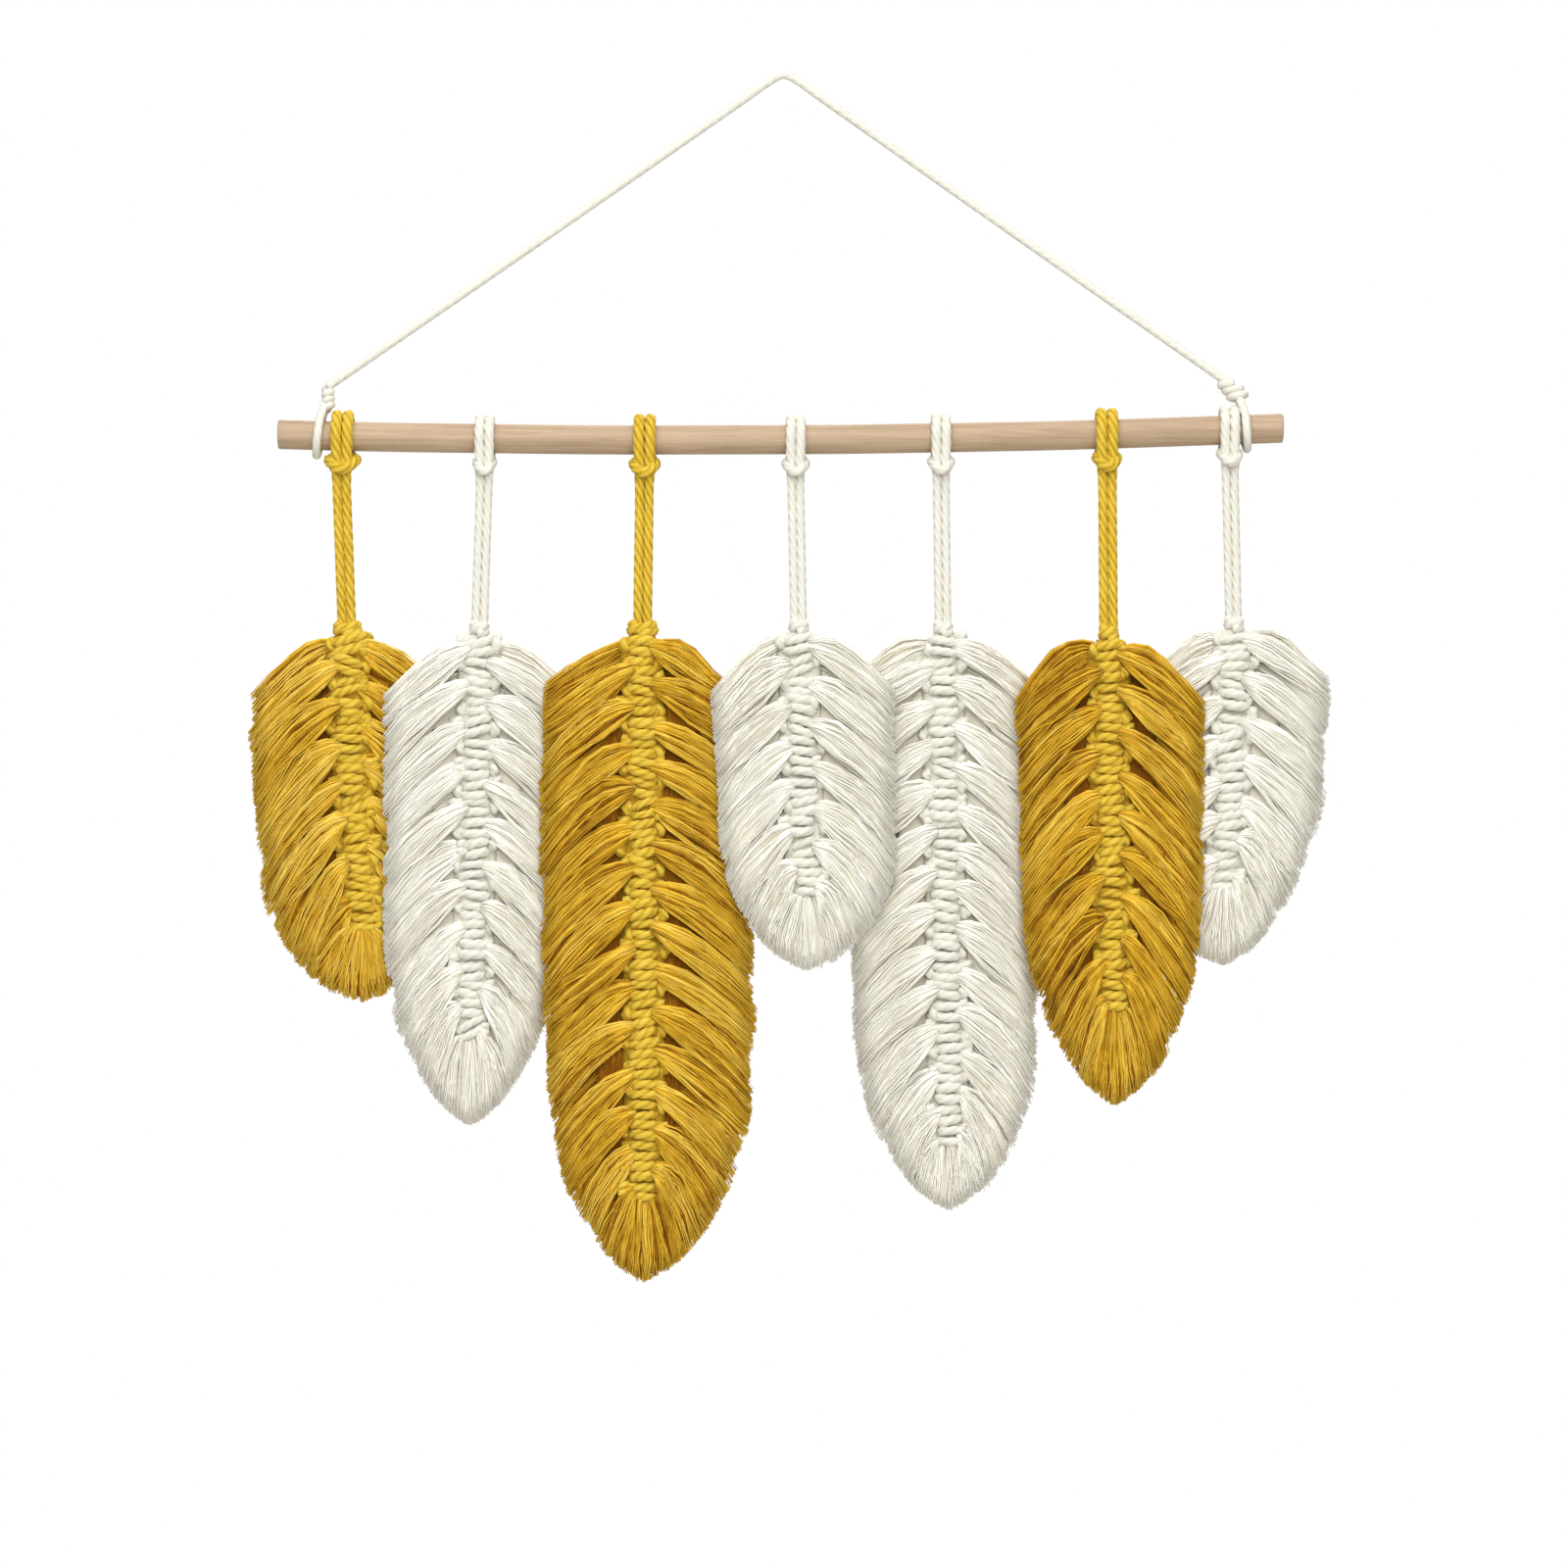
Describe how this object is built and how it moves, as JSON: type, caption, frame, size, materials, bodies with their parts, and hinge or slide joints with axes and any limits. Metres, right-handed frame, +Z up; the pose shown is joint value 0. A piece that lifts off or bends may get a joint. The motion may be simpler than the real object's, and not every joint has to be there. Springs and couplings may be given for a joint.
{
  "type": "macrame wall hanging with its wooden rod",
  "caption": "Knotted cotton feathers in mustard and cream, looped side by side on a thin wooden rod, which hangs by a cord from one point on the wall.",
  "frame": {"origin": "the hanging point, on the underside of the hanging cord where it bends over the nail or hook that holds it", "axes": "+X to the viewer's right along the rod, +Z up, the front towards -Y and the wall towards +Y"},
  "size_m": [0.5536, 0.0314, 0.6162],
  "materials": {
    "rod_wood": "bare sanded beech, matt",
    "mustard_cotton": "mustard twisted cotton cord, combed out to fibres in the locks, matt",
    "cream_cotton": "undyed cream twisted cotton cord, combed out to fibres in the locks, matt"
  },
  "bodies": {
    "root": {"rod": "rod_wood", "hanging_cord": "cream_cotton", "tie_left": "cream_cotton", "tie_right": "cream_cotton", "loop_1": "mustard_cotton", "feather_1": "mustard_cotton", "loop_2": "cream_cotton", "feather_2": "cream_cotton", "loop_3": "mustard_cotton", "feather_3": "mustard_cotton", "loop_4": "cream_cotton", "feather_4": "cream_cotton", "loop_5": "cream_cotton", "feather_5": "cream_cotton", "loop_6": "mustard_cotton", "feather_6": "mustard_cotton", "loop_7": "cream_cotton", "feather_7": "cream_cotton"}
  },
  "joints": []
}
